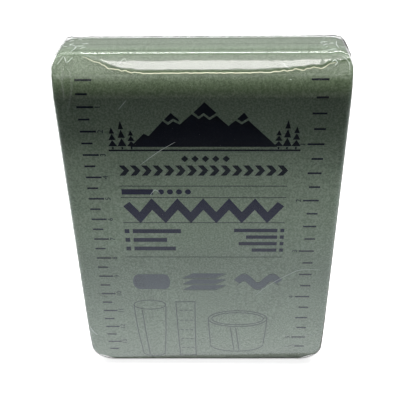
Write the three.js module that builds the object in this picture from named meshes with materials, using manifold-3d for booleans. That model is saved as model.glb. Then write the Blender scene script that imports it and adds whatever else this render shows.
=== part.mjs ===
// A foam splint: a long padded strip folded to and fro into a flat pack and shrink-wrapped in clear film.
// Millimetres, +Z up. X runs across the strip, the printed face looks along -Y and the pack stands on Z = 0.

import * as THREE from "three";
import { mergeVertices } from "three/addons/utils/BufferGeometryUtils.js";
import Module from "manifold-3d";

// The strip, laid out flat
const STRIP_LENGTH = 914.4;
const STRIP_WIDTH = 108;
const FACE_FOAM = 1.65;
const BACK_FOAM = 1.65;
const CORE_SLOT = 0.4;

// The folding: each pair of panels meets in a fold at the foot, and the pairs meet in folds at the top
const PANEL_PAIRS = 3;
const FOLD_GAP = 0.35;
const END_DROP = 0.6;

// The film
const FILM_WALL = 0.3;
const FILM_GAP = 0.3;
const FACET_ROOM = 0.2;
const SIDE_SLACK = 0.3;
const SIDE_ROUND = 2;
const CREASE_ROUND = 0.35;
const VENT_DIAMETER = 3;
const VENT_HEIGHT = 118;

// The pack's outline seen from the front
const TOP_CORNER = 7;
const FOOT_CORNER = 10;

// How far the film's pull sets the pack back towards its ends, and over what height
const FRONT_ROLL = 5.2;
const FRONT_ROLL_HEIGHT = 18.5;
const FRONT_ROLL_POWER = 1.7;
const BACK_ROLL = 3.2;
const BACK_ROLL_HEIGHT = 14;
const BACK_ROLL_POWER = 2;
const FOOT_TUCK = 2;
const FOOT_TUCK_HEIGHT = 36;
const FOOT_DRAW = 0.7;
const TOP_DRAW = 0.6;
const CORNER_PULL = 0.32;
const CORNER_TUCK = 0.25;

// Rows of facets above the foot folds, as shares of the height over which the foot is tucked in
const FOOT_ROWS = [0, 0.11, 0.31, 0.62, 1];

// Fineness of the facets
const FOLD_STEPS = 6;
const EDGE_STEPS = 3;
const CORNER_STEPS = 2;
const MIDDLE_STEPS = 2;
const ROLL_STEPS = 5;
const TUCK_STEPS = 2;
const DEPTH_STEPS = 3;
const VENT_SIDES = 12;
const MERGE_DISTANCE = 1e-4;

// Sizes worked out from those above
const panels = 2 * PANEL_PAIRS;
const footPitch = CORE_SLOT + 2 * BACK_FOAM + FOLD_GAP;
const topPitch = CORE_SLOT + 2 * FACE_FOAM + FOLD_GAP;
const footRadius = footPitch / 2 + CORE_SLOT / 2 + FACE_FOAM;
const topRadius = topPitch / 2 + CORE_SLOT / 2 + BACK_FOAM;
const stackDepth = 2 * (FACE_FOAM + CORE_SLOT / 2) + PANEL_PAIRS * footPitch + (PANEL_PAIRS - 1) * topPitch;
const foldedLength = Math.PI * (PANEL_PAIRS * footPitch + (PANEL_PAIRS - 1) * topPitch) / 2;
const frontTakeUp = rollTakeUp(FRONT_ROLL, FRONT_ROLL_HEIGHT, FRONT_ROLL_POWER);
const rolledLength = frontTakeUp + rollTakeUp(BACK_ROLL, BACK_ROLL_HEIGHT, BACK_ROLL_POWER);
const straightLength = (STRIP_LENGTH - foldedLength - rolledLength - 2 * (topRadius - END_DROP)) / panels;
const filmRoom = FILM_WALL + FILM_GAP;
const footCentre = filmRoom + footRadius;
const topCentre = footCentre + straightLength;
const endHeight = topCentre + topRadius - END_DROP;

// The film's outer box
const pack = {
  width: STRIP_WIDTH + 2 * (filmRoom + SIDE_SLACK),
  depth: stackDepth + 2 * filmRoom,
  height: topCentre + topRadius + filmRoom,
  edge: footRadius + filmRoom,
};

const rollStart = pack.height - FRONT_ROLL_HEIGHT;

const smooth = (t) => t * t * (3 - 2 * t);
const share = (value, from, to) => Math.min(Math.max((value - from) / (to - from), 0), 1);

// What a roll at the top takes from the strip: its curve's extra length, less in each panel further in
function rollTakeUp(roll, height, power) {
  let length = 0;
  for (let panel = 0; panel < panels; panel += 1) {
    const set = roll * Math.max(1 - 2 * panel / (panels - 1), 0);
    length += (power * power / (4 * power - 2)) * set * set / height;
  }
  return length;
}

// How far the front and the back of the pack stand behind their widest place at a height
function setBack(z) {
  const foot = FOOT_TUCK * (1 - share(z, 0, FOOT_TUCK_HEIGHT)) ** 2;
  const front = FRONT_ROLL * share(z, rollStart, pack.height) ** FRONT_ROLL_POWER;
  const back = BACK_ROLL * share(z, pack.height - BACK_ROLL_HEIGHT, pack.height) ** BACK_ROLL_POWER;
  return { front: foot + front, back: foot + back };
}

// How much narrower each side is at a height
function drawIn(z) {
  const top = smooth(share(z, rollStart - TOP_CORNER, pack.height));
  return FOOT_DRAW * (1 - share(z, 0, FOOT_TUCK_HEIGHT)) ** 2 + TOP_DRAW * top;
}

// Depth of a rounded edge of a given radius, at a distance from the rim
function edgeDepth(distance, radius) {
  if (distance >= radius) return 0;
  const reach = 1 - distance / radius;
  return radius * (1 - Math.sqrt(Math.max(1 - reach * reach, 0)));
}

// The radius of the film's edge at a height: the fold's at the foot, less at the sides, a crease at the top
function edgeRadius(z, inset) {
  const foot = smooth(share(z, 0, FOOT_CORNER));
  const rise = smooth(share(z, rollStart - TOP_CORNER, pack.height - inset));
  const low = THREE.MathUtils.lerp(pack.edge, SIDE_ROUND, foot);
  return Math.max(THREE.MathUtils.lerp(low, CREASE_ROUND, rise) - inset, 0);
}

// The folded line of the strip's core: places with the direction in which its printed side looks there
function foldedLine() {
  const line = [];
  const levels = FOOT_ROWS.map((part) => footCentre + part * (FOOT_TUCK_HEIGHT - footCentre));
  levels.push(rollStart - TOP_CORNER, rollStart - TOP_CORNER / 2);
  for (let step = 0; step < ROLL_STEPS; step += 1) {
    levels.push(rollStart + FRONT_ROLL_HEIGHT * step / ROLL_STEPS);
  }
  let y = -stackDepth / 2 + FACE_FOAM + CORE_SLOT / 2;
  for (let panel = 0; panel < panels; panel += 1) {
    const down = panel % 2 === 0;
    const isEnd = panel === 0 || panel === panels - 1;
    const top = isEnd ? endHeight : topCentre;
    const normal = new THREE.Vector2(down ? -1 : 1, 0);
    const heights = [...levels.filter((z) => z < top - FOLD_GAP), top];
    if (down) heights.reverse();
    for (const z of heights) line.push({ place: new THREE.Vector2(y, z), normal });
    if (panel === panels - 1) break;
    const radius = (down ? footPitch : topPitch) / 2;
    const centre = new THREE.Vector2(y + radius, down ? footCentre : topCentre);
    for (let step = 1; step < FOLD_STEPS; step += 1) {
      const turn = Math.PI * step / FOLD_STEPS;
      const outward = new THREE.Vector2(-Math.cos(turn), (down ? -1 : 1) * Math.sin(turn));
      const place = outward.clone().multiplyScalar(radius).add(centre);
      line.push({ place, normal: down ? outward : outward.negate() });
    }
    y += 2 * radius;
  }
  return line;
}

// Places across the strip, close together at its edges
function stationsAcross(halfWidth, corner) {
  const half = [];
  for (let step = 0; step < MIDDLE_STEPS; step += 1) half.push((halfWidth - corner) * step / MIDDLE_STEPS);
  for (let step = 0; step <= CORNER_STEPS; step += 1) {
    half.push(halfWidth - corner * (1 - Math.sin(Math.PI / 2 * step / CORNER_STEPS)));
  }
  return [...half.slice(1).reverse().map((x) => -x), ...half];
}

// A box with its faces cut into steps, each vertex moved by a rule that gets its three step numbers
function bentBox(alongSteps, throughSteps, sidewaysSteps, rule) {
  const geometry = new THREE.BoxGeometry(1, 1, 1, alongSteps, throughSteps, sidewaysSteps);
  geometry.deleteAttribute("normal");
  geometry.deleteAttribute("uv");
  const places = geometry.getAttribute("position");
  const stepOf = (value, steps) => Math.round((value + 0.5) * steps);
  for (let index = 0; index < places.count; index += 1) {
    const along = stepOf(places.getX(index), alongSteps);
    const through = stepOf(places.getY(index), throughSteps);
    const sideways = stepOf(places.getZ(index), sidewaysSteps);
    places.setXYZ(index, ...rule(along, through, sideways));
  }
  return mergeVertices(geometry, MERGE_DISTANCE);
}

// Moves a point of the straight folded strip to where the wrapped strip has it
function wrapFoam(flatX, flatY, flatZ) {
  const half = STRIP_WIDTH / 2;
  const upper = flatZ > pack.height / 2;
  const corner = upper ? TOP_CORNER : FOOT_CORNER;
  const centreX = pack.width / 2 - corner;
  const centreZ = upper ? pack.height - corner : corner;
  const endZ = upper ? pack.height - filmRoom : filmRoom;
  const cornered = share(Math.abs(flatX), centreX, half) * share(flatZ, centreZ, endZ);
  const x = Math.abs(flatX) - cornered * CORNER_PULL * (half - centreX) - drawIn(flatZ);
  const z = flatZ + cornered * CORNER_PULL * (centreZ - endZ);
  const edge = edgeRadius(z, filmRoom);
  const toSide = pack.width / 2 - drawIn(z) - filmRoom - FACET_ROOM - x;
  const rim = edgeDepth(toSide, edge) + cornered * CORNER_TUCK * edge;
  const back = setBack(z);
  const front = -stackDepth / 2 + back.front + rim;
  const rear = stackDepth / 2 - back.back - rim;
  const depth = flatY / stackDepth + 0.5;
  return [Math.sign(flatX) * x, THREE.MathUtils.lerp(front, rear, depth), z];
}

// One foam layer, between two distances from the core: a box whose length follows the folded line
function foamLayer(inner, outer) {
  const line = foldedLine();
  const across = stationsAcross(STRIP_WIDTH / 2, FOOT_CORNER);
  return bentBox(line.length - 1, 1, across.length - 1, (along, through, sideways) => {
    const { place, normal } = line[along];
    const offset = through === 0 ? outer : inner;
    return wrapFoam(across[sideways], place.x + normal.x * offset, place.y + normal.y * offset);
  });
}

// Places along one axis of the film's box, as shares from -0.5 to 0.5
function filmStations(size, low, high) {
  const places = [];
  const edge = (from, corner, sign) => {
    const run = [];
    for (let step = 0; step <= EDGE_STEPS; step += 1) {
      run.push(pack.edge * (1 - Math.cos(Math.PI / 2 * step / EDGE_STEPS)));
    }
    for (let step = 1; step <= CORNER_STEPS; step += 1) {
      const part = step / CORNER_STEPS;
      if (corner > pack.edge) run.push(pack.edge + (corner - pack.edge) * part);
    }
    return run.map((distance) => from + sign * distance);
  };
  places.push(...edge(0, low.corner, 1), ...low.more);
  for (let step = 1; step < MIDDLE_STEPS; step += 1) places.push(size * step / MIDDLE_STEPS);
  places.push(...high.more, ...edge(size, high.corner, -1).reverse());
  return places.map((place) => place / size - 0.5);
}

// The film's skin as a closed body, set in from the pack's outer box
function filmSkin(inset) {
  const across = filmStations(pack.width, { corner: FOOT_CORNER, more: [] }, { corner: FOOT_CORNER, more: [] });
  const tuck = [];
  for (let step = 1; step <= TUCK_STEPS; step += 1) {
    tuck.push(THREE.MathUtils.lerp(FOOT_CORNER, FOOT_TUCK_HEIGHT, step / TUCK_STEPS));
  }
  const roll = [rollStart - TOP_CORNER, rollStart - TOP_CORNER / 2];
  for (let step = 0; step < TUCK_STEPS; step += 1) {
    roll.push(rollStart + (FRONT_ROLL_HEIGHT - TOP_CORNER) * step / TUCK_STEPS);
  }
  const up = filmStations(pack.height, { corner: FOOT_CORNER, more: tuck }, { corner: TOP_CORNER, more: roll });
  return bentBox(across.length - 1, DEPTH_STEPS, up.length - 1, (along, through, sideways) => (
    wrapFilm(across[along], through / DEPTH_STEPS, up[sideways], inset)
  ));
}

// Moves a point of a box, given in shares, to the film's skin
function wrapFilm(shareX, depth, shareZ, inset) {
  const half = pack.width / 2 - inset;
  const boxX = Math.abs(shareX) * 2 * half;
  const boxZ = inset + (shareZ + 0.5) * (pack.height - 2 * inset);
  const upper = boxZ > pack.height / 2;
  const corner = (upper ? TOP_CORNER : FOOT_CORNER) - inset;
  const centreX = half - corner;
  const centreZ = upper ? pack.height - inset - corner : inset + corner;
  const u = share(boxX, centreX, half);
  const v = share(boxZ, centreZ, upper ? pack.height - inset : inset);
  let x = boxX;
  let z = boxZ;
  let rim = Math.min(half - boxX, upper ? pack.height - inset - boxZ : boxZ - inset);
  if (u > 0 && v > 0) {
    x = centreX + corner * u * Math.sqrt(1 - v * v / 2);
    z = centreZ + (upper ? 1 : -1) * corner * v * Math.sqrt(1 - u * u / 2);
    rim = corner - Math.hypot(x - centreX, z - centreZ);
  }
  const edge = edgeDepth(rim, edgeRadius(z, inset));
  const back = setBack(z);
  const front = -pack.depth / 2 + inset + back.front + edge;
  const rear = pack.depth / 2 - inset - back.back - edge;
  const y = THREE.MathUtils.lerp(front, rear, depth);
  return [Math.sign(shareX) * (x - drawIn(z)), y, z];
}

const wasm = await Module();
wasm.setup();

// A closed body as a solid that can be joined and cut
function solid(geometry) {
  const bare = geometry.clone();
  for (const name of ["normal", "uv"]) bare.deleteAttribute(name);
  const merged = mergeVertices(bare, MERGE_DISTANCE);
  return new wasm.Manifold(new wasm.Mesh({
    numProp: 3,
    vertProperties: new Float32Array(merged.getAttribute("position").array),
    triVerts: new Uint32Array(merged.getIndex().array),
  }));
}

function geometryOf(body) {
  const mesh = body.getMesh();
  const geometry = new THREE.BufferGeometry();
  geometry.setAttribute("position", new THREE.BufferAttribute(mesh.vertProperties, 3));
  geometry.setIndex(new THREE.BufferAttribute(mesh.triVerts, 1));
  geometry.computeVertexNormals();
  return geometry;
}

// The clear film: its outer skin less its inner one, with a round hole at the back that lets the air out
function filmWrap() {
  const vent = new THREE.CylinderGeometry(VENT_DIAMETER / 2, VENT_DIAMETER / 2, FILM_WALL + FILM_GAP, VENT_SIDES);
  vent.translate(0, (pack.depth - FILM_WALL) / 2, VENT_HEIGHT);
  return geometryOf(solid(filmSkin(0)).subtract(solid(filmSkin(FILM_WALL))).subtract(solid(vent)));
}

function piece(name, geometry, look) {
  const mesh = new THREE.Mesh(geometry, new THREE.MeshStandardMaterial(look));
  mesh.name = name;
  return mesh;
}

const splint = new THREE.Group();
const half = CORE_SLOT / 2;
const faceLook = { color: 0x5d6c58, roughness: 0.85, metalness: 0 };
const backLook = { color: 0x66735f, roughness: 0.85, metalness: 0 };
const filmLook = { color: 0xeef2f0, roughness: 0.1, metalness: 0, transparent: true, opacity: 0.25 };
splint.add(piece("face_foam", foamLayer(half, half + FACE_FOAM), faceLook));
splint.add(piece("back_foam", foamLayer(-half - BACK_FOAM, -half), backLook));
splint.add(piece("film_wrap", filmWrap(), filmLook));

export default splint;
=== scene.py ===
"""A foam splint folded to and fro into a flat pack and shrink-wrapped in clear film, on a pale floor."""

import logging
import math
import random
from collections.abc import Sequence
from dataclasses import dataclass
from enum import Enum

import bmesh
import bpy
from mathutils import Matrix, Vector, noise


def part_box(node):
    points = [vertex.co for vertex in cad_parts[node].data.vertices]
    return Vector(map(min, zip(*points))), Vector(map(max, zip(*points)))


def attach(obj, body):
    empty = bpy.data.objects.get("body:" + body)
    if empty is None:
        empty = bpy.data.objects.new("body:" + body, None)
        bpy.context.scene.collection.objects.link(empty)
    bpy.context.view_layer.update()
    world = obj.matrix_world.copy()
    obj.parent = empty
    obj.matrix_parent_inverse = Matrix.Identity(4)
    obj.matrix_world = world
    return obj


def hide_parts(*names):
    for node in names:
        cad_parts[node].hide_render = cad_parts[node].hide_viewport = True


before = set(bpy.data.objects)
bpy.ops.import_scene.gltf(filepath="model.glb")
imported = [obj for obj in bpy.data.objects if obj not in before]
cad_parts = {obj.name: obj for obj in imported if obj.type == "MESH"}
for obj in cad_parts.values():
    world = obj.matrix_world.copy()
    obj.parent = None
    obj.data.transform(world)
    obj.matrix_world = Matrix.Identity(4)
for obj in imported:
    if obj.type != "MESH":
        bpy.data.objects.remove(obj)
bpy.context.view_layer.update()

MM = 0.001
BODY = "root"
FRAME_PIXELS = 400
MERGE = 0.005 * MM
NOISE_STEP = (9.3, -1.5, 7.9)

log = logging.getLogger("splint")

Colour = tuple[float, float, float]
Point = tuple[float, float]
Path = tuple[Point, ...]
Inputs = dict[str | int, object]


def share(value: float, start: float, end: float) -> float:
    """How far a value has come from start to end, from 0 to 1.

    Args:
        value: The value to place.
        start: Where the share is 0.
        end: Where the share is 1.

    Returns:
        The share, kept between 0 and 1.
    """
    return min(max((value - start) / (end - start), 0.0), 1.0)


def smooth(part: float) -> float:
    """A share eased in and out, for a given share."""
    return part * part * (3 - 2 * part)


def mix(first: float, second: float, part: float) -> float:
    """The value a share of the way from the first to the second."""
    return first + (second - first) * part


def steady_noise(place: Vector) -> Vector:
    """A noise vector that is the same in each run, for a place."""
    return Vector([noise.noise(place + axis * Vector(NOISE_STEP)) for axis in range(3)])


def deselect_all() -> None:
    """Leave nothing selected, so that an operator acts on its own piece only."""
    for item in bpy.context.selected_objects:
        item.select_set(False)


def make_active(piece: bpy.types.Object) -> None:
    """Select one piece alone and make it the active one."""
    deselect_all()
    piece.select_set(True)
    bpy.context.view_layer.objects.active = piece


def apply_modifier(piece: bpy.types.Object, kind: str, **settings: object) -> None:
    """Add a modifier to a piece, set it and apply it.

    Args:
        piece: The piece to finish.
        kind: The modifier's type.
        settings: The modifier's settings by name.
    """
    make_active(piece)
    modifier = piece.modifiers.new(kind.title(), kind)
    for name, value in settings.items():
        setattr(modifier, name, value)
    bpy.ops.object.modifier_apply(modifier=modifier.name)


def face_outwards(piece: bpy.types.Object) -> None:
    """Merge a piece's doubles and turn its faces outwards."""
    make_active(piece)
    bpy.ops.object.mode_set(mode="EDIT")
    bpy.ops.mesh.select_all(action="SELECT")
    bpy.ops.mesh.remove_doubles(threshold=MERGE)
    bpy.ops.mesh.normals_make_consistent(inside=False)
    bpy.ops.object.mode_set(mode="OBJECT")


def add_plane(name: str, size: float = 1) -> bpy.types.Object:
    """Add a named square plane of a size."""
    deselect_all()
    bpy.ops.mesh.primitive_plane_add(size=size)
    plane = bpy.context.object
    plane.name = name
    return plane


def to_mesh(name: str, curve: bpy.types.Curve) -> bpy.types.Object:
    """Turn a curve into a mesh piece under a name."""
    piece = bpy.data.objects.new(name, curve)
    bpy.context.scene.collection.objects.link(piece)
    make_active(piece)
    bpy.ops.object.convert(target="MESH")
    return bpy.context.object


class Shader:
    """A node tree, built node by node with each one's settings and inputs."""

    def __init__(self, tree: bpy.types.NodeTree) -> None:
        """Take the tree to build in."""
        self.tree = tree

    def feed(self, node: bpy.types.Node, inputs: Inputs) -> None:
        """Give a node's inputs their constant values, or link them to other nodes' outputs."""
        for name, value in inputs.items():
            if isinstance(value, bpy.types.NodeSocket):
                self.tree.links.new(value, node.inputs[name])
            else:
                node.inputs[name].default_value = value

    def add(self, kind: str, inputs: Inputs | None = None, **settings: object) -> bpy.types.Node:
        """Add a node.

        Args:
            kind: The node's type, without its leading words.
            inputs: Its inputs by name or number, as constant values or as outputs to link.
            settings: Its own settings by name.

        Returns:
            The node.
        """
        node = self.tree.nodes.new(f"ShaderNode{kind}")
        for name, value in settings.items():
            setattr(node, name, value)
        self.feed(node, inputs or {})
        return node

    def math(self, operation: str, *values: object, clamp: bool = False) -> bpy.types.NodeSocket:
        """The result of a sum with constant values and other nodes' outputs."""
        node = self.add("Math", dict(enumerate(values)), operation=operation, use_clamp=clamp)
        return node.outputs[0]

    def ranged(self, value: bpy.types.NodeSocket, span: Point, top: float = 1.0) -> bpy.types.NodeSocket:
        """An output that comes from 0 to a top while a value comes from a span's start to its end."""
        node = self.add("MapRange", {"Value": value, "From Min": span[0], "From Max": span[1], "To Max": top})
        return node.outputs["Result"]

    def mixed(self, factor: bpy.types.NodeSocket, first: Colour, second: Colour) -> bpy.types.NodeSocket:
        """A colour between two, by a factor."""
        colours = {"A": (*first, 1), "B": (*second, 1), "Factor": factor}
        return self.add("Mix", colours, data_type="RGBA").outputs["Result"]

    def own_noise(self, size: float, detail: float) -> bpy.types.NodeSocket:
        """Noise in the piece's own coordinates, with spots of a size."""
        place = self.add("TexCoord").outputs["Object"]
        node = self.add("TexNoise", {"Vector": place, "Scale": 1 / size, "Detail": detail})
        return node.outputs["Fac"]

    def bump(self, height: bpy.types.NodeSocket, relief: float) -> bpy.types.NodeSocket:
        """The normal of a relief, from its height."""
        return self.add("Bump", {"Distance": relief, "Height": height}).outputs["Normal"]


def new_material(name: str) -> tuple[bpy.types.Material, Shader, bpy.types.Node]:
    """Start a material.

    Args:
        name: The material's name.

    Returns:
        The material, its node tree and its surface's shader.
    """
    material = bpy.data.materials.new(name)
    material.use_nodes = True
    return material, Shader(material.node_tree), material.node_tree.nodes["Principled BSDF"]


@dataclass(frozen=True)
class PackForm:
    """The wrapped pack's outer form, and the way in which the film's pull shapes it."""

    width: float
    depth: float
    height: float
    film_room: float = 0.3 * MM
    foot_edge: float = 4.475 * MM
    side_round: float = 2 * MM
    crease_round: float = 0.35 * MM
    facet_room: float = 0.02 * MM
    top_corner: float = 5 * MM
    foot_corner: float = 10 * MM
    front_roll: float = 5.2 * MM
    back_roll: float = 3.2 * MM
    front_roll_height: float = 16.8 * MM
    front_roll_power: float = 1.5
    back_roll_height: float = 14 * MM
    back_roll_power: float = 2.0
    foot_tuck: float = 2 * MM
    foot_tuck_height: float = 36 * MM
    foot_draw: float = 0.4 * MM
    top_draw: float = 0.35 * MM
    corner_pull: float = 0.32
    corner_tuck: float = 0.25
    seat_height: float = 147.4 * MM
    seat_flats: Point = (20 * MM, 15 * MM)
    seat_rises: Point = (12.2, 2.6)
    seat_wave: float = 0.3 * MM
    seat_wave_size: float = 4 * MM
    seat_wave_least: float = 0.3
    seat_wave_growth: float = 8 * MM
    seat_room: float = 0.5 * MM
    front_drop: float = 0.6 * MM
    front_drop_reach: float = 5 * MM
    front_drop_height: float = 8 * MM
    tautness: float = 0.85
    bow: float = 0.1 * MM
    twist: float = 0.022
    lean: float = 0.3 * MM

    @property
    def roll_start(self) -> float:
        """The height at which the front starts to roll back."""
        return self.height - self.front_roll_height

    def set_back(self, z: float) -> Point:
        """How far the front and the back stand behind their widest place.

        Args:
            z: The height.

        Returns:
            The set-back of the front and of the back.
        """
        foot = self.foot_tuck * (1 - share(z, 0, self.foot_tuck_height)) ** 2
        front = share(z, self.roll_start, self.height) ** self.front_roll_power
        back = share(z, self.height - self.back_roll_height, self.height) ** self.back_roll_power
        return foot + self.front_roll * front, foot + self.back_roll * back

    def seat(self, x: float) -> float:
        """The height at which the film leaves the foam, at a place across the front."""
        side = 0 if x < 0 else 1
        past = max(abs(x) - self.seat_flats[side], 0)
        steep = self.seat_rises[side]
        wave = noise.noise(Vector((x / self.seat_wave_size, 3.7, 0)))
        growth = self.seat_wave_least + past / self.seat_wave_growth
        rise = steep * past * past + self.seat_wave * wave * growth
        return min(self.seat_height + rise, self.height - self.seat_room)

    def bridge(self, x: float, z: float) -> float:
        """How far the film's front stands back where it bridges from its seat to the crease.

        Args:
            x: The place across the front.
            z: The height.

        Returns:
            The set-back of the taut film, or of the rolled front below the seat.
        """
        seat = self.seat(x)
        rolled = self.set_back(z)[0]
        if z <= seat:
            return rolled
        part = share(z, seat, self.height)
        chord = mix(self.set_back(seat)[0], self.front_roll, part)
        return mix(rolled, chord, self.tautness) - self.bow * math.sin(math.pi * part)

    def sunk(self, y: float, z: float) -> float:
        """How far the top's front sits below its middle, at a place from front to back."""
        crease = self.front_roll - self.depth / 2
        near_top = smooth(share(z, self.height - self.front_drop_height, self.height))
        return self.front_drop * near_top * smooth(1 - share(y, crease, crease + self.front_drop_reach))

    def front(self, x: float, z: float) -> Vector:
        """A place on the film's front, for a place across and up."""
        y = -self.depth / 2 + self.bridge(x, z)
        return self.twisted(x, y, z)

    def draw_in(self, z: float) -> float:
        """How much narrower each side is at a height."""
        top = smooth(share(z, self.roll_start - self.top_corner, self.height))
        foot = (1 - share(z, 0, self.foot_tuck_height)) ** 2
        return self.foot_draw * foot + self.top_draw * top

    def edge_radius(self, z: float, inset: float) -> float:
        """The radius of the outer edge at a height, set in by an inset."""
        foot = smooth(share(z, 0, self.foot_corner))
        rise = smooth(share(z, self.roll_start - self.top_corner, self.height - inset))
        low = mix(self.foot_edge, self.side_round, foot)
        return max(mix(low, self.crease_round, rise) - inset, 0)

    @staticmethod
    def edge_depth(distance: float, radius: float) -> float:
        """The depth of a rounded edge at a distance from its rim."""
        if distance >= radius:
            return 0.0
        reach = 1 - distance / radius
        return radius * (1 - math.sqrt(max(1 - reach * reach, 0)))

    def skin(self, across: float, up: float, through: float) -> Vector:
        """A place on the film's skin.

        Args:
            across: The place across the pack, from -1 to 1.
            up: The place up the pack, from 0 to 1.
            through: The place from front to back, from 0 to 1.

        Returns:
            The place in the pack's frame.
        """
        half = self.width / 2
        x = abs(across) * half
        z = up * self.height
        upper = up > 0.5
        corner = self.top_corner if upper else self.foot_corner
        centre_x = half - corner
        centre_z = self.height - corner if upper else corner
        side_sign = 1 if upper else -1
        u = share(x, centre_x, half)
        v = share(z, centre_z, self.height if upper else 0)
        if u > 0 and v > 0:
            x = centre_x + corner * u * math.sqrt(1 - v * v / 2)
            z = centre_z + side_sign * corner * v * math.sqrt(1 - u * u / 2)
            radial = Vector((x - centre_x, z - centre_z))
            rim = max(corner - radial.length, 0)
            outward = radial.normalized()
        else:
            to_end = self.height - z if upper else z
            rim = min(half - x, to_end)
            outward = Vector((1, 0)) if half - x < to_end else Vector((0, side_sign))
        radius = self.edge_radius(z, 0)
        edge = 0.0
        if rim < radius:
            turn = math.pi / 2 * rim / radius
            shift = rim - radius * (1 - math.cos(turn))
            x += outward.x * shift
            z += outward.y * shift
            edge = radius * (1 - math.sin(turn))
        x = math.copysign(x - self.draw_in(z), across)
        back = self.set_back(z)[1]
        y = mix(-self.depth / 2 + self.bridge(x, z) + edge, self.depth / 2 - back - edge, through)
        return self.twisted(x, y, z)

    def wrap(self, flat: Vector, stack: float, half: float) -> Vector:
        """Move a point of the straight folded strip to where the wrapped strip has it.

        Args:
            flat: The point of the straight folded strip.
            stack: The depth of the folded strip.
            half: Half of the strip's width.

        Returns:
            The place in the pack's frame.
        """
        upper = flat.z > self.height / 2
        corner = self.top_corner if upper else self.foot_corner
        centre_x = self.width / 2 - corner
        centre_z = self.height - corner if upper else corner
        end_z = self.height - self.film_room if upper else self.film_room
        cornered = share(abs(flat.x), centre_x, half) * share(flat.z, centre_z, end_z)
        x = abs(flat.x) - cornered * self.corner_pull * (half - centre_x) - self.draw_in(flat.z)
        z = flat.z + cornered * self.corner_pull * (centre_z - end_z)
        edge = self.edge_radius(z, self.film_room)
        to_side = self.width / 2 - self.draw_in(z) - self.film_room - self.facet_room - x
        rim = self.edge_depth(to_side, edge) + cornered * self.corner_tuck * edge
        front, back = self.set_back(z)
        y = mix(-stack / 2 + front + rim, stack / 2 - back - rim, flat.y / stack + 0.5)
        return self.twisted(math.copysign(x, flat.x), y, z)

    def twisted(self, x: float, y: float, z: float) -> Vector:
        """A place once the top's front has sunk and the soft foot is turned slightly against the top."""
        low = 1 - z / self.height
        return Vector((x + self.lean * low, y + self.twist * x * low, z - self.sunk(y, z)))


class FoamSide(Enum):
    """The strip's two foam layers, by the side of the core that each lies on."""

    FACE = 1
    BACK = -1


@dataclass(frozen=True)
class PebbleSkin:
    """Fine pebbles under broad clouds, as a node group that both foams share."""

    name: str = "foam_pebbles"
    detail: float = 3
    roughness: float = 0.65
    contrast: Point = (0.4, 0.6)
    cloud_scale: float = 45
    cloud_detail: float = 2
    cloud_share: float = 0.35

    def group(self) -> bpy.types.NodeTree:
        """The group, which puts out a tone and a height, made at its first use."""
        if self.name in bpy.data.node_groups:
            return bpy.data.node_groups[self.name]
        tree = bpy.data.node_groups.new(self.name, "ShaderNodeTree")
        for name, way, kind in (
                ("Place", "INPUT", "Vector"), ("Size", "INPUT", "Float"),
                ("Tone", "OUTPUT", "Float"), ("Height", "OUTPUT", "Float")):
            tree.interface.new_socket(name, in_out=way, socket_type=f"NodeSocket{kind}")
        given = tree.nodes.new("NodeGroupInput").outputs
        shader = Shader(tree)
        cells = shader.add("TexNoise", {
            "Vector": given["Place"], "Scale": shader.math("DIVIDE", 1, given["Size"]),
            "Detail": self.detail, "Roughness": self.roughness}).outputs["Fac"]
        clouds = shader.add("TexNoise", {
            "Vector": given["Place"], "Scale": self.cloud_scale,
            "Detail": self.cloud_detail}).outputs["Fac"]
        pebbles = shader.math("MULTIPLY", shader.ranged(cells, self.contrast), 1 - self.cloud_share)
        tone = shader.math("MULTIPLY_ADD", clouds, self.cloud_share, pebbles)
        shader.feed(tree.nodes.new("NodeGroupOutput"), {"Tone": tone, "Height": cells})
        return tree


@dataclass(frozen=True)
class FoamFinish:
    """Closed-cell foam with a fine pebbled skin."""

    name: str
    light: Colour
    dark: Colour
    pebble: float = 0.72 * MM
    relief: float = 0.05 * MM
    roughness: float = 0.82
    gloss: float = 0.25

    def build(self) -> bpy.types.Material:
        """Make the material."""
        material, shader, surface = new_material(self.name)
        place = shader.add("TexCoord").outputs["Object"]
        grain = shader.add(
            "Group", {"Place": place, "Size": self.pebble}, node_tree=PebbleSkin().group()).outputs
        shader.feed(surface, {
            "Base Color": shader.mixed(grain["Tone"], self.dark, self.light),
            "Roughness": self.roughness, "Specular IOR Level": self.gloss,
            "Normal": shader.bump(grain["Height"], self.relief)})
        return material


@dataclass(frozen=True)
class FilmFinish:
    """Clear shrink film: it mirrors by its angle and otherwise lets through what lies behind."""

    name: str = "clear_film"
    tint: Colour = (0.95, 0.96, 0.95)
    roughness: float = 0.07
    index: float = 1.5
    surfaces: float = 2.0
    haze: float = 0.012
    ripple: float = 7 * MM
    ripple_detail: float = 3
    relief: float = 0.09 * MM

    def build(self) -> bpy.types.Material:
        """Make the material: its outer side covers by its mirroring, and its inner side not at all."""
        material, shader, surface = new_material(self.name)
        normal = shader.bump(shader.own_noise(self.ripple, self.ripple_detail), self.relief)
        mirror = shader.add("Fresnel", {"IOR": self.index, "Normal": normal}).outputs["Fac"]
        cover = shader.math("MULTIPLY_ADD", mirror, self.surfaces, self.haze, clamp=True)
        outer = shader.math("SUBTRACT", 1, shader.add("NewGeometry").outputs["Backfacing"])
        shader.feed(surface, {
            "Base Color": (*self.tint, 1), "Metallic": 1, "Roughness": self.roughness,
            "Normal": normal, "Alpha": shader.math("MULTIPLY", cover, outer)})
        return material


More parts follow.
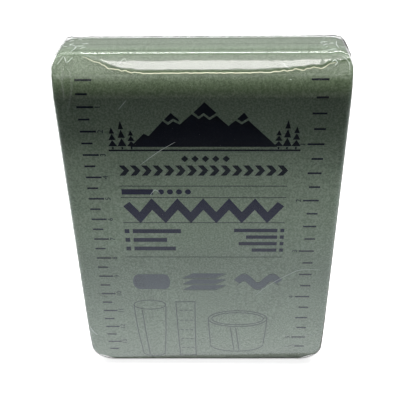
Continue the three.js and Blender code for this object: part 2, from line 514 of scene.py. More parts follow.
@dataclass(frozen=True)
class InkFinish:
    """Screen-printed ink on foam."""

    name: str
    colour: Colour
    worn: Colour
    speck: float = 0.5 * MM
    speck_detail: float = 2
    wear: Point = (0.55, 0.8)
    roughness: float = 0.7
    gloss: float = 0.12

    def build(self) -> bpy.types.Material:
        """Make the material."""
        material, shader, surface = new_material(self.name)
        worn = shader.ranged(shader.own_noise(self.speck, self.speck_detail), self.wear)
        shader.feed(surface, {
            "Base Color": shader.mixed(worn, self.colour, self.worn),
            "Roughness": self.roughness, "Specular IOR Level": self.gloss})
        return material


@dataclass
class FoamStrip:
    """The long strip of two foam layers, folded to and fro round the core's slot."""

    form: PackForm
    width: float = 109.2 * MM
    layer: float = 1.82 * MM
    slot: float = 0.4 * MM
    pairs: int = 3
    fold_gap: float = 0.06 * MM
    end_drop: float = 0.3 * MM
    row: float = 2.5 * MM
    columns: int = 54
    fold_steps: int = 14
    edge_round: float = 0.3 * MM
    sideways: float = 0.12 * MM
    squareness: float = 12.0
    fold_slack: float = 0.02 * MM
    fold_rim: float = 0.995
    drift_size: Point = (4 * MM, 160 * MM)

    @property
    def pitch(self) -> float:
        """The distance between two neighbouring panels' cores."""
        return self.slot + 2 * self.layer + self.fold_gap

    @property
    def stack(self) -> float:
        """The depth of the folded strip."""
        return 2 * (self.layer + self.slot / 2) + (2 * self.pairs - 1) * self.pitch

    @property
    def fold_radius(self) -> float:
        """The outer radius of a fold."""
        return self.pitch / 2 + self.slot / 2 + self.layer

    def folded_line(self) -> list[tuple[Point, Point]]:
        """The core's line, with the direction in which the printed side looks.

        Returns:
            Places along the strip as (y, z), each with its printed side's direction.
        """
        foot_centre = self.form.film_room + self.fold_radius
        top_centre = self.form.height - foot_centre
        end_height = top_centre + self.fold_radius - self.end_drop
        line = []
        y = -self.stack / 2 + self.layer + self.slot / 2
        for panel in range(2 * self.pairs):
            down = panel % 2 == 0
            is_end = panel in (0, 2 * self.pairs - 1)
            top = end_height if is_end else top_centre
            rows = round((top - foot_centre) / self.row)
            heights = [mix(foot_centre, top, step / rows) for step in range(rows + 1)]
            if down:
                heights.reverse()
            side = -1 if down else 1
            line += [((y, z), (side, 0)) for z in heights]
            if panel == 2 * self.pairs - 1:
                break
            radius = self.pitch / 2
            centre_z = foot_centre if down else top_centre
            for step in range(1, self.fold_steps):
                turn = math.pi * step / self.fold_steps
                outward = (-math.cos(turn), (-1 if down else 1) * math.sin(turn))
                place = (y + radius + radius * outward[0], centre_z + radius * outward[1])
                facing = outward if down else (-outward[0], -outward[1])
                line.append((place, facing))
            y += 2 * radius
        return line

    def layer_mesh(self, name: str, side: FoamSide) -> bpy.types.Object:
        """Model one foam layer: a long sheet laid along the folded line, thickened, then wrapped.

        Args:
            name: The piece's name.
            side: The side of the core that the layer lies on.

        Returns:
            The finished layer.
        """
        line = self.folded_line()
        deselect_all()
        bpy.ops.mesh.primitive_grid_add(
            x_subdivisions=self.columns, y_subdivisions=len(line) - 1, size=1)
        piece = bpy.context.object
        piece.name = name
        offset = side.value * (self.slot + self.layer) / 2
        for vertex in piece.data.vertices:
            place, facing = line[round((vertex.co.y + 0.5) * (len(line) - 1))]
            x = vertex.co.x * self.width
            vertex.co = (x, place[0] + facing[0] * offset, place[1] + facing[1] * offset)
        apply_modifier(piece, "SOLIDIFY", thickness=self.layer, offset=0.0)
        apply_modifier(
            piece, "BEVEL", width=self.edge_round, segments=2, limit_method="ANGLE",
            angle_limit=math.radians(60))
        for vertex in piece.data.vertices:
            vertex.co = self.settle(vertex.co)
        face_outwards(piece)
        piece.data.shade_smooth()
        return piece

    def flatten(self, flat: Vector) -> float:
        """The height of a point once the film has pressed the round fold tops flat."""
        centre_z = self.form.height - self.form.film_room - self.fold_radius
        if flat.z <= centre_z:
            return flat.z
        first = -self.stack / 2 + self.layer + self.slot / 2 + 1.5 * self.pitch
        fold = min(max(round((flat.y - first) / (2 * self.pitch)), 0), self.pairs - 2)
        off = abs(flat.y - first - 2 * self.pitch * fold)
        if off > self.fold_radius + self.fold_slack:
            return flat.z
        part = min(off / self.fold_radius, self.fold_rim)
        squarer = (1 - part ** self.squareness) ** (1 / self.squareness)
        return centre_z + (flat.z - centre_z) * squarer / math.sqrt(1 - part * part)

    def settle(self, flat: Vector) -> Vector:
        """Where a point of the straight folded strip lies in the pack, slightly uneven."""
        flat = Vector((flat.x, flat.y, self.flatten(flat)))
        drift = noise.noise(Vector((0.3, flat.y / self.drift_size[0], flat.z / self.drift_size[1])))
        moved = self.form.wrap(flat, self.stack, self.width / 2)
        moved.x += self.sideways * drift
        return moved

    def build(self) -> None:
        """Build and dress both layers."""
        finishes = {
            FoamSide.FACE: FoamFinish("printed_foam", (0.30, 0.365, 0.28), (0.125, 0.168, 0.115)),
            FoamSide.BACK: FoamFinish("plain_foam", (0.315, 0.38, 0.295), (0.14, 0.185, 0.13)),
        }
        for side, finish in finishes.items():
            node = f"{side.name.lower()}_foam"
            piece = self.layer_mesh(f"{node}_layer", side)
            piece.data.materials.append(finish.build())
            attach(piece, BODY)
            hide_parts(node)
            log.info("%s: %d faces", piece.name, len(piece.data.polygons))


class Panel(Enum):
    """The two outer panels, which both show the strip's printed side."""

    FRONT = -1
    BACK = 1


class Outlines:
    """Flat ink outlines in millimetres across and up the face: closed forms, lines and rings."""

    def __init__(self) -> None:
        """Start with a bare face."""
        self.rings: list[list[Point]] = []

    def form(self, *points: Point) -> None:
        """Add a filled form with straight edges."""
        self.rings.append(list(points))

    def bar(self, left: float, right: float, middle: float, height: float) -> None:
        """Add a level bar."""
        low, high = middle - height / 2, middle + height / 2
        self.form((left, low), (right, low), (right, high), (left, high))

    @staticmethod
    def offset(before: Vector, here: Vector, after: Vector, width: float) -> Vector:
        """Half a line's width, square to it at one of its places.

        Args:
            before: The place before, or the same one at the line's start.
            here: The place itself.
            after: The place after, or the same one at the line's end.
            width: The line's width.

        Returns:
            The way from the place to the line's left side.
        """
        into = (here - before).normalized() if before != here else (after - here).normalized()
        out = (after - here).normalized() if after != here else into
        along = (into + out).normalized()
        return Vector((-along.y, along.x)) * width / 2 / max(along.dot(into), 0.35)

    def band(self, path: Sequence[Point], width: float) -> None:
        """Add an open line of an even width.

        Args:
            path: The places that the line's middle follows.
            width: The line's width.
        """
        places = [Vector(path[0]), *map(Vector, path), Vector(path[-1])]
        sides = [self.offset(*places[step:step + 3], width) for step in range(len(path))]
        left = [tuple(here + side) for here, side in zip(places[1:], sides)]
        right = [tuple(here - side) for here, side in zip(places[1:], sides)]
        self.rings.append(left + right[::-1])

    def loop(self, path: Sequence[Point], width: float) -> None:
        """Add a closed line of an even width round a form.

        Args:
            path: The form's corners.
            width: The line's width.
        """
        places = [Vector(path[-1]), *map(Vector, path), Vector(path[0])]
        sides = [self.offset(*places[step:step + 3], width) for step in range(len(path))]
        for sign in (-1, 1):
            self.rings.append([tuple(here + side * sign) for here, side in zip(places[1:], sides)])

    @staticmethod
    def arc(centre: Point, size: Point, start: float, end: float, steps: int = 24) -> list[Point]:
        """Places along a stretch of an ellipse.

        Args:
            centre: The ellipse's centre.
            size: Its half width and half height.
            start: Where the stretch starts, in degrees.
            end: Where it ends, in degrees.
            steps: How many steps it has.

        Returns:
            The places in order.
        """
        turns = [math.radians(mix(start, end, step / steps)) for step in range(steps + 1)]
        return [
            (centre[0] + size[0] * math.cos(turn), centre[1] + size[1] * math.sin(turn))
            for turn in turns]

    def mesh(self, name: str) -> bpy.types.Object:
        """Fill the outlines as one flat mesh in the XY plane, in metres.

        Args:
            name: The mesh's name.

        Returns:
            The flat mesh.
        """
        curve = bpy.data.curves.new(name, "CURVE")
        curve.dimensions = "2D"
        curve.fill_mode = "BOTH"
        for ring in self.rings:
            spline = curve.splines.new("POLY")
            spline.points.add(len(ring) - 1)
            for point, (x, z) in zip(spline.points, ring):
                point.co = (x * MM, z * MM, 0, 1)
            spline.use_cyclic_u = True
        return to_mesh(name, curve)


@dataclass
class Ruler:
    """A printed ruler: ticks from one line inwards, with plain numbers at the whole units."""

    name: str
    edge: float
    inward: int
    unit: float
    tick_lengths: tuple[float, ...]
    zero: float = 145.1
    tick_height: float = 0.75
    digit_size: float = 3.0
    digit_gap: float = 1.7

    def ticks(self, part: int, first: float, count: int) -> bpy.types.Object:
        """One kind of tick, copied down the ruler.

        Args:
            part: Which of the unit's equal parts the ticks stand at.
            first: The height of the first tick.
            count: How many there are.

        Returns:
            The flat ticks.
        """
        length = self.tick_lengths[part]
        tick = add_plane("ticks")
        middle = self.edge + self.inward * length / 2
        for vertex in tick.data.vertices:
            vertex.co.x = (middle + vertex.co.x * length) * MM
            vertex.co.y = (first + vertex.co.y * self.tick_height) * MM
        apply_modifier(
            tick, "ARRAY", count=count, use_relative_offset=False, use_constant_offset=True,
            constant_offset_displace=(0, -self.unit * MM, 0))
        return tick

    def number(self, value: int, height: float) -> bpy.types.Object:
        """One number, turned a quarter round and set beside its tick."""
        deselect_all()
        bpy.ops.object.text_add()
        text = bpy.context.object
        text.data.body = str(value)
        text.data.size = self.digit_size * MM
        text.data.align_x = "CENTER"
        text.data.align_y = "CENTER"
        bpy.ops.object.convert(target="MESH")
        digits = bpy.context.object
        middle = self.edge + self.inward * (self.tick_lengths[0] + self.digit_gap)
        for vertex in digits.data.vertices:
            vertex.co = (middle * MM - vertex.co.y, height * MM + vertex.co.x, 0)
        return digits

    def flat(self, top: float, start: float, length: float) -> bpy.types.Object:
        """The flat ruler on one panel.

        Args:
            top: The height of the zero mark, were the ruler to run down from it unbroken.
            start: How far along the strip the panel starts, from the zero mark.
            length: How much of the ruler the panel shows.

        Returns:
            The ruler's flat mesh.
        """
        parts = len(self.tick_lengths)
        pieces = []
        for part in range(parts):
            whole = math.ceil(start / self.unit - part / parts - 1e-6)
            first = (whole + part / parts) * self.unit
            count = math.floor((start + length - first) / self.unit) + 1
            pieces.append(self.ticks(part, top - first, count))
        lowest = max(math.ceil(start / self.unit), 1)
        highest = int((start + length) / self.unit)
        for value in range(lowest, highest + 1):
            pieces.append(self.number(value, top - value * self.unit))
        deselect_all()
        for piece in pieces:
            piece.select_set(True)
        bpy.context.view_layer.objects.active = pieces[0]
        bpy.ops.object.join()
        return pieces[0]


@dataclass
class Print:
    """The ink on the strip's printed side: two rulers, thin rules and a plain generic design."""

    strip: FoamStrip
    wall: float = 0.05 * MM
    lift: float = 0.01 * MM
    cut: float = 3 * MM
    strip_length: float = 914.4
    half_width: float = 33.2
    rule_heights: tuple[float, ...] = (101.1, 95.7, 83.5, 65.7)
    rule_width: float = 0.3
    line_width: float = 0.36
    ruler_place: float = 46.2
    front_reach: float = 138
    back_reach: float = 143
    back_drop: float = 3

    def lay(self, piece: bpy.types.Object, name: str, panel: Panel, ink: InkFinish) -> None:
        """Lay a flat mesh of ink on a panel as a thin closed coat, and dress it.

        Args:
            piece: The flat mesh, across and up in its XY plane.
            name: The piece's name.
            panel: The panel that it lies on.
            ink: Its finish.
        """
        piece.name = name
        mesh = bmesh.new()
        mesh.from_mesh(piece.data)
        bmesh.ops.reverse_faces(mesh, faces=[face for face in mesh.faces if face.normal.z < 0])
        if panel is Panel.BACK:
            for vertex in mesh.verts:
                vertex.co.y = (2 * self.end_place - self.strip_length) * MM - vertex.co.y
            bmesh.ops.reverse_faces(mesh, faces=mesh.faces)
        low = min(vertex.co.y for vertex in mesh.verts)
        high = max(vertex.co.y for vertex in mesh.verts)
        for step in range(1, math.ceil((high - low) / self.cut)):
            bmesh.ops.bisect_plane(
                mesh, geom=mesh.verts[:] + mesh.edges[:] + mesh.faces[:], dist=1e-7,
                plane_co=(0, low + step * self.cut, 0), plane_no=(0, 1, 0))
        depth = panel.value * (self.strip.stack / 2 + self.lift)
        for vertex in mesh.verts:
            vertex.co = self.strip.settle(Vector((vertex.co.x, depth, vertex.co.y)))
        mesh.to_mesh(piece.data)
        mesh.free()
        apply_modifier(piece, "SOLIDIFY", thickness=self.wall, offset=-float(panel.value))
        face_outwards(piece)
        piece.data.materials.clear()
        piece.data.materials.append(ink.build())
        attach(piece, BODY)
        log.info("%s: %d faces", name, len(piece.data.polygons))

    @property
    def end_place(self) -> float:
        """The height of the strip's ends, in millimetres."""
        form = self.strip.form
        return (form.height - form.film_room - self.strip.end_drop) / MM

    def rulers(self) -> None:
        """Print both rulers on the front panel and, where the strip ends, on the back one."""
        ink = InkFinish("ruler_ink", (0.008, 0.01, 0.026), (0.03, 0.036, 0.05))
        centimetres = Ruler("ruler_cm", -self.ruler_place, 1, 10.0, (6.2, 4.3))
        inches = Ruler("ruler_inch", self.ruler_place, -1, 25.4, (6.3, 4.4, 5.4, 4.4))
        zero_mark = self.end_place - centimetres.zero
        back_start = self.strip_length - self.end_place - zero_mark + self.back_drop
        for ruler in (centimetres, inches):
            front = ruler.flat(ruler.zero, 0, self.front_reach)
            self.lay(front, ruler.name, Panel.FRONT, ink)
            back = ruler.flat(ruler.zero, back_start, self.back_reach)
            self.lay(back, f"{ruler.name}_back", Panel.BACK, ink)

    def rules(self) -> None:
        """Print the thin rules between the face's fields."""
        marks = Outlines()
        for height in self.rule_heights:
            marks.bar(-self.half_width, self.half_width, height, self.rule_width)
        ink = InkFinish("rule_ink", (0.016, 0.02, 0.03), (0.04, 0.045, 0.05))
        self.lay(marks.mesh("rules"), "print_rules", Panel.FRONT, ink)

    def mountains(self, marks: Outlines) -> None:
        """A ridge of peaks with snow caps between two rows of firs."""
        ridge = (
            (-27.5, 118.6), (-22, 124.2), (-20.2, 123.2), (-14.6, 129.4), (-12.6, 127.8),
            (-10.6, 129.3), (-8.2, 128), (-3.6, 132.2), (-1, 130.2), (0.8, 131.6), (3, 129.8),
            (5.6, 131.6), (10, 127.4), (12.6, 129.6), (15, 128), (17.4, 129.6), (28.6, 118.6))
        caps = (
            ((-13.9, 130.1), (-11.4, 132.7), (-8.7, 130.2), (-8.2, 129.1), (-10.6, 130.4), (-12.6, 129)),
            ((-2.9, 132.9), (1.2, 137), (5, 133.2), (5.6, 132.7), (3, 130.9), (0.8, 132.7), (-1, 131.3)),
            ((13.2, 130.2), (15.8, 132.8), (16.9, 131.2), (17.4, 130.7), (15, 129.1)))
        for form in (ridge, *caps):
            marks.form(*form)
        for middle, tall in (
                (-34.2, 9), (-30.6, 12), (-27, 7.5), (29, 7.6), (32.2, 12.3), (35.6, 9.2)):
            for tier in range(3):
                low = 118.9 + tier * tall * 0.3
                reach = 1.75 - tier * 0.36
                marks.form((middle - reach, low), (middle + reach, low), (middle, low + tall * 0.29))
            marks.bar(middle - 0.3, middle + 0.3, 118.1, 1)
        marks.bar(-36, 37.4, 117.1, 0.7)

    def emblem(self) -> None:
        """Print the upper fields: mountains, diamonds, chevrons, dots and the folded strip."""
        ink = InkFinish("emblem_ink", (0.004, 0.006, 0.014), (0.016, 0.02, 0.03))
        marks = Outlines()
        self.mountains(marks)
        for step in range(5):
            middle, height, reach = -6.8 + 4 * step, 113.4, 1.45
            marks.form(
                (middle - reach, height), (middle, height - reach),
                (middle + reach, height), (middle, height + reach))
        for step in range(15):
            left, low, high, tip = -32.8 + 4.42 * step, 105.9, 110.5, 1.9
            middle = (low + high) / 2
            marks.form(
                (left, low), (left + 2.2, low), (left + 2.2 + tip, middle), (left + 2.2, high),
                (left, high), (left + tip, middle))
        self.lay(marks.mesh("emblem"), "print_emblem", Panel.FRONT, ink)

    def fields(self) -> None:
        """Print the middle fields: a bar and dots, the bold zigzag strip and the plain lists."""
        ink = InkFinish("field_ink", (0.009, 0.01, 0.04), (0.03, 0.032, 0.065))
        marks = Outlines()
        marks.bar(-32.6, -20, 98.4, 2.5)
        for step in range(4):
            marks.form(*Outlines.arc((-16.8 + 3.6 * step, 98.4), (1.2, 1.2), 0, 345, 16))
        turns = 12
        spine = [
            (mix(-31.2, 31.2, step / turns), 86 if step % 2 else 92.6) for step in range(turns + 1)]
        marks.band(spine, 3.4)
        for row, end in enumerate((-9.5, -15.5, -12)):
            height = 79.2 - 4.5 * row
            marks.bar(-33, -31, height, 2.0)
            marks.bar(-29.6, end, height, 2.0)
        for row, start in enumerate((12.5, 17.5, 14.5, 20)):
            height = 79.6 - 3.4 * row
            marks.bar(start, 30.4, height, 1.7)
            marks.bar(31.6, 33.2, height, 1.7)
        self.lay(marks.mesh("fields"), "print_fields", Panel.FRONT, ink)

    def profiles(self) -> None:
        """Print three small pictures: a roll, a stack of panels and a waved strip."""
        fill = Outlines()
        lines = Outlines()
        roll = Outlines.arc((-17.5, 52), (2.2, 4.2), -90, 90, 12)
        roll += [(-28.6, 56.2)] + Outlines.arc((-28.6, 52), (3, 4.2), 90, 270, 16)[1:]
        fill.form(*roll)
        for reach in (1.1, 2.2, 3.3):
            lines.band(Outlines.arc((-28.2, 52), (reach * 0.72, reach), 20, 330, 20), 0.28)
        for step in range(3):
            low = 47.6 + 3.3 * step
            fill.form((-9.6, low), (4.6, low), (9, low + 2.5), (-5.2, low + 2.5))
            lines.band([(-9.6, low - 0.3), (4.8, low - 0.3), (9.2, low + 2.2)], 0.26)
        wave = [
            (mix(14, 32.4, step / 24), 52 + 2.5 * math.sin(step / 24 * 3 * math.pi)) for step in range(25)]
        fill.band(wave, 3.4)
        lines.band([(x, z - 2.1) for x, z in wave], 0.26)
        lines.band([(x, z + 2.1) for x, z in wave], 0.26)
        pale = InkFinish("picture_ink", (0.10, 0.118, 0.14), (0.135, 0.155, 0.16), 0.8 * MM)
        thin = InkFinish("line_ink", (0.04, 0.05, 0.06), (0.08, 0.095, 0.1))
        self.lay(fill.mesh("fill"), "print_pictures", Panel.FRONT, pale)
        self.lay(lines.mesh("lines"), "print_picture_lines", Panel.FRONT, thin)

    def figures(self) -> None:
        """Print the thin-line figures: a trough, a strip with its fold lines and a collar."""
        width = self.line_width
        lines = Outlines()
        bands = (
            ((-32.2, 37.6), (-31.4, 22), (-30.2, 7.4)),
            ((-17.8, 37.6), (-18.6, 22), (-19.8, 7.4)),
            Outlines.arc((-25, 7), (5.2, 2.2), 182, 358, 16),
            ((-28.6, 35.2), (-28, 22), (-27.2, 5.8)),
            ((1.2, 28.8), (2.2, 13.6)),
            ((28, 28.8), (27, 13.6)),
            Outlines.arc((14.6, 13), (12.4, 5), 183, 357, 20),
            ((11.4, 24.4), (13.4, 9)),
            ((13.8, 24.2), (15.8, 8.8)))
        loops = (
            Outlines.arc((-25, 38.6), (7.2, 2.7), 0, 345, 23),
            ((-12.6, 5.2), (-5.2, 5.2), (-4.6, 40.4), (-13.2, 40.4)),
            Outlines.arc((14.6, 30), (13.4, 5), 0, 345, 23),
            Outlines.arc((14.6, 30), (11.8, 3.8), 0, 345, 23))
        for path in bands:
            lines.band(path, width)
        for path in loops:
            lines.loop(path, width)
        for step in range(5):
            height = 10.8 + 6.1 * step
            for part in range(3):
                lines.bar(-11.6 + 2.2 * part, -10.3 + 2.2 * part, height, width)
        thin = InkFinish("figure_ink", (0.06, 0.07, 0.078), (0.1, 0.12, 0.12))
        self.lay(lines.mesh("figures"), "print_figures", Panel.FRONT, thin)

    def build(self) -> None:
        """Print the strip."""
        self.rulers()
        self.rules()
        self.emblem()
        self.fields()
        self.profiles()
        self.figures()


@dataclass
class ClearFilm:
    """The shrink film: a thin closed skin that bridges the rolled front and bunches at the corners."""

    form: PackForm
    wall: float = 0.2 * MM
    columns: int = 116
    rows: int = 150
    layers: int = 12
    crowding: float = 0.5
    vent_radius: float = 1.5 * MM
    vent_height: float = 118 * MM
    bulge: float = 0.14 * MM
    bulge_step: float = 0.7 * MM
    gather: float = 0.17 * MM
    gather_corner: Point = (3 * MM, 2 * MM)
    gather_reach: float = 15 * MM
    gather_size: float = 3.2 * MM
    gather_drift: float = 0.8
    gather_steep: float = 3.2
    gather_floor: float = -0.4
    cling_gather: float = 0.35
    seam: float = 0.12 * MM
    seam_width: float = 1.6 * MM
    seam_size: float = 5 * MM
    waver: float = 0.05 * MM
    waver_size: float = 26 * MM
    top_fade: Point = (3 * MM, 0.5 * MM)
    front_facing: Point = (0.2, 0.6)
    top_facing: Point = (0.2, 0.8)
    seam_least: float = 0.1
    finish: FilmFinish = FilmFinish()
    clinging: FilmFinish = FilmFinish("clinging_film", roughness=0.13)
    dull: FilmFinish = FilmFinish("dull_film", roughness=0.28, surfaces=0.7)
    dull_height: float = 147 * MM

    def spread(self, part: float) -> float:
        """A share with its steps crowded towards both ends."""
        return part - self.crowding * math.sin(2 * math.pi * part) / (2 * math.pi)

    def blank(self) -> bpy.types.Object:
        """A box in steps: a grid for its front, extruded backwards step by step."""
        deselect_all()
        bpy.ops.mesh.primitive_grid_add(
            x_subdivisions=self.columns, y_subdivisions=self.rows, size=1)
        piece = bpy.context.object
        piece.name = "clear_film"
        bpy.ops.object.mode_set(mode="EDIT")
        for _ in range(self.layers):
            bpy.ops.mesh.extrude_region_move(
                TRANSFORM_OT_translate={"value": (0, 0, 1 / self.layers)})
        bpy.ops.object.mode_set(mode="OBJECT")
        return piece

    def lift(self, place: Vector, normal: Vector) -> float:
        """How far the film stands off its smooth form at a place.

        Args:
            place: A place on the smooth form.
            normal: The direction outwards there.

        Returns:
            The distance along the normal.
        """
        form = self.form
        height = self.waver * noise.noise(place / self.waver_size)
        front = share(-normal.y, *self.front_facing)
        seat = form.seat(place.x)
        over = share(place.z, seat, seat + self.bulge_step)
        fade = 1 - share(place.z, form.height - self.top_fade[0], form.height - self.top_fade[1])
        height += self.bulge * front * smooth(over) * smooth(fade)
        height += self.gathers(place, self.cling_gather if place.z < seat else 1)
        back_edge = form.depth / 2 - form.back_roll
        at_seam = math.exp(-((place.y - back_edge) / self.seam_width) ** 2)
        top = share(normal.z, *self.top_facing)
        wave = noise.noise(Vector((place.x / self.seam_size, 9.1, 0)))
        scallop = mix(self.seam_least, 1, (1 + wave) / 2)
        return height + self.seam * at_seam * top * scallop

    def gathers(self, place: Vector, slack: float) -> float:
        """How far the film bunches up round a top corner.

        Args:
            place: A place on the smooth form.
            slack: How freely the film bunches there, from 0 to 1.

        Returns:
            The height of the gathers at the place.
        """
        in_from_side, down = self.gather_corner
        corner = Vector((self.form.width / 2 - in_from_side, self.form.height - down))
        away = (Vector((abs(place.x), place.z)) - corner).length
        near = smooth(1 - share(away, 0, self.gather_reach))
        if near <= 0:
            return 0.0
        bend = Vector((place.x, place.y * 1.5, place.z)) / self.gather_size
        bend += self.gather_drift * steady_noise(bend * 0.6)
        ridge = 1 - abs(noise.noise(bend)) * self.gather_steep
        return self.gather * slack * near * max(ridge, self.gather_floor)

    def cut_vent(self, piece: bpy.types.Object) -> None:
        """Open the round vent in the film's back."""
        mesh = bmesh.new()
        mesh.from_mesh(piece.data)
        centre = Vector((0, self.vent_height))
        inside = [
            face for face in mesh.faces
            if face.calc_center_median().y > 0
            and (face.calc_center_median().xz - centre).length < self.vent_radius]
        bmesh.ops.delete(mesh, geom=inside, context="FACES")
        for vertex in mesh.verts:
            if vertex.is_boundary:
                ray = (vertex.co.xz - centre).normalized() * self.vent_radius
                vertex.co.x = ray.x
                vertex.co.z = self.vent_height + ray.y
        mesh.to_mesh(piece.data)
        mesh.free()

    def build(self) -> None:
        """Build and dress the film."""
        piece = self.blank()
        for vertex in piece.data.vertices:
            across = 2 * self.spread(vertex.co.x + 0.5) - 1
            up = self.spread(vertex.co.y + 0.5)
            vertex.co = self.form.skin(across, up, min(max(vertex.co.z, 0), 1))
        face_outwards(piece)
        self.cut_vent(piece)
        lifts = [self.lift(vertex.co, vertex.normal) for vertex in piece.data.vertices]
        normals = [vertex.normal.copy() for vertex in piece.data.vertices]
        for vertex, normal, lift in zip(piece.data.vertices, normals, lifts):
            vertex.co += normal * lift
        apply_modifier(piece, "SOLIDIFY", thickness=self.wall, offset=-1.0)
        piece.data.shade_smooth()
        for finish in (self.finish, self.clinging, self.dull):
            piece.data.materials.append(finish.build())
        for face in piece.data.polygons:
            if face.center.z < self.form.seat(face.center.x):
                face.material_index = 2 if face.center.z > self.dull_height else 1
        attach(piece, BODY)
        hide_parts("film_wrap")
        log.info("%s: %d faces", piece.name, len(piece.data.polygons))


@dataclass(frozen=True)
class CreaseFinish:
    """A pale bead on clear film, which scatters the light that falls on it: a painted highlight along a
    crease or the contact line, or a faint painted reflection in a streak.
    """

    name: str
    colour: Colour
    cover: float
    roughness: float = 0.35

    def build(self) -> bpy.types.Material:
        """Make the material."""
        material, shader, surface = new_material(self.name)
        shader.feed(surface, {
            "Base Color": (*self.colour, 1), "Roughness": self.roughness, "Alpha": self.cover})
        return material


@dataclass
class FilmCreases:
    """The film's sharp creases, as thin tapered pale beads on its skin: painted highlights, with a painted
    highlight along the contact line and faint streaks of painted reflection.
    """

    form: PackForm
    sharp: float = 0.13 * MM
    fine: float = 0.09 * MM
    smear: float = 0.45 * MM
    contact: float = 0.19 * MM
    spacing: float = 0.5 * MM
    thin_ends: float = 0.25
    contact_reach: Point = (-42.6 * MM, 48.5 * MM)
    scallop: float = 0.85 * MM
    scallop_size: float = 1.5 * MM
    calm_middle: float = 2 * MM
    calm_span: Point = (18 * MM, 32 * MM)
    calm_share: float = 0.25
    seam_reach: Point = (-45 * MM, 44 * MM)
    seam_arcs: int = 15
    seam_share: float = 0.86
    seam_depths: Point = (0.5 * MM, 1.5 * MM)
    seam_back: float = 0.4 * MM
    seam_steps: int = 10
    bits: int = 13
    bit_across: Point = (43, 51.5)
    bit_along: Point = (-6, 7.5)
    bit_lengths: Point = (1.0, 3.2)
    bit_bend: float = 1.2
    bit_steps: int = 6
    bit_widths: Point = (0.7, 1.4)
    seed: int = 7

    def rounded(self, path: Path) -> list[Point]:
        """A path in millimetres as a smooth line of close places, in metres.

        Args:
            path: The places that the line passes.

        Returns:
            The close places.
        """
        ends = (path[0], *path, path[-1])
        places = []
        for index in range(1, len(ends) - 2):
            before, start, end, after = (Vector(ends[index + step]) for step in (-1, 0, 1, 2))
            steps = max(round((end - start).length * MM / self.spacing), 2)
            for step in range(steps):
                part = step / steps
                bend = (
                    start * 2 + (end - before) * part
                    + (before * 2 - start * 5 + end * 4 - after) * part ** 2
                    + (start * 3 - before - end * 3 + after) * part ** 3) / 2
                places.append((bend.x * MM, bend.y * MM))
        return places + [(path[-1][0] * MM, path[-1][1] * MM)]

    def bead(self, name: str, lines: list[tuple[list[Vector], float]], finish: CreaseFinish) -> None:
        """Lay one piece of beads along lines, thinning out at both ends.

        Args:
            name: The piece's name.
            lines: Each line's places and its radius.
            finish: The beads' finish.
        """
        curve = bpy.data.curves.new(name, "CURVE")
        curve.dimensions = "3D"
        curve.bevel_depth = 1.0
        curve.bevel_resolution = 1
        curve.use_fill_caps = True
        for places, radius in lines:
            spline = curve.splines.new("POLY")
            spline.points.add(len(places) - 1)
            for index, (point, place) in enumerate(zip(spline.points, places)):
                part = index / (len(places) - 1)
                point.co = (*place, 1)
                point.radius = radius * mix(self.thin_ends, 1, math.sin(math.pi * part) ** 0.5)
        piece = to_mesh(name, curve)
        face_outwards(piece)
        piece.data.shade_smooth()
        piece.data.materials.clear()
        piece.data.materials.append(finish.build())
        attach(piece, BODY)
        log.info("%s: %d faces", name, len(piece.data.polygons))

    def corner_bits(self) -> list[tuple[list[Vector], float]]:
        """Short strokes of bunched film over the two top corners, laid as pale beads of painted highlight."""
        chance = random.Random(self.seed)
        strokes = []
        for side in (-1, 1):
            for _ in range(self.bits):
                x = side * chance.uniform(*self.bit_across) * MM
                y = chance.uniform(*self.bit_along) * MM
                turn = chance.uniform(0, math.pi)
                length = chance.uniform(*self.bit_lengths) * MM
                bend = chance.uniform(-self.bit_bend, self.bit_bend)
                stroke = []
                for step in range(self.bit_steps + 1):
                    heading = turn + bend * step / self.bit_steps
                    stroke.append(self.form.twisted(x, y, self.form.height))
                    x += math.cos(heading) * length / self.bit_steps
                    y += math.sin(heading) * length / self.bit_steps
                strokes.append((stroke, self.fine * chance.uniform(*self.bit_widths)))
        return strokes

    def contact_line(self) -> list[Vector]:
        """The line along which the film leaves the foam, with its small scallops, where a warm bead paints a
        highlight.
        """
        start, end = self.contact_reach
        count = round((end - start) / self.spacing)
        places = []
        for step in range(count + 1):
            x = mix(start, end, step / count)
            wave = noise.noise(Vector((x / self.scallop_size, 2.3, 0)))
            size = self.scallop * mix(self.calm_share, 1, share(abs(x - self.calm_middle), *self.calm_span))
            places.append(self.form.front(x, self.form.seat(x) + size * wave))
        return places

    def seam_line(self) -> list[tuple[list[Vector], float]]:
        """The small arcs of bunched film along the top's back edge, laid as pale beads of painted highlight.
        """
        start, end = self.seam_reach
        back = self.form.depth / 2 - self.form.back_roll
        arcs = []
        for index in range(self.seam_arcs):
            left = mix(start, end, index / self.seam_arcs)
            right = mix(start, end, (index + self.seam_share) / self.seam_arcs)
            deep = mix(*self.seam_depths, 0.5 + noise.noise(Vector((index * 1.7, 5.5, 0))))
            arc = []
            for step in range(self.seam_steps + 1):
                part = step / self.seam_steps
                y = back - self.seam_back - deep * math.sin(math.pi * part)
                arc.append(self.form.twisted(mix(left, right, part), y, self.form.height))
            arcs.append((arc, self.fine))
        return arcs

    def build(self) -> None:
        """Build the contact line and the sharp creases as beads of painted highlight, and the soft streaks as
        faint painted reflection.
        """
        # pale beads paint highlights along the creases, the top's back seam and the corner strokes
        pale = CreaseFinish("crease_painted_highlight", (0.82, 0.88, 0.86), 0.8)
        # a warm, nearly opaque bead paints the highlight along the contact line
        contact_highlight_paint = CreaseFinish("contact_painted_highlight", (1.0, 0.96, 0.8), 0.95)
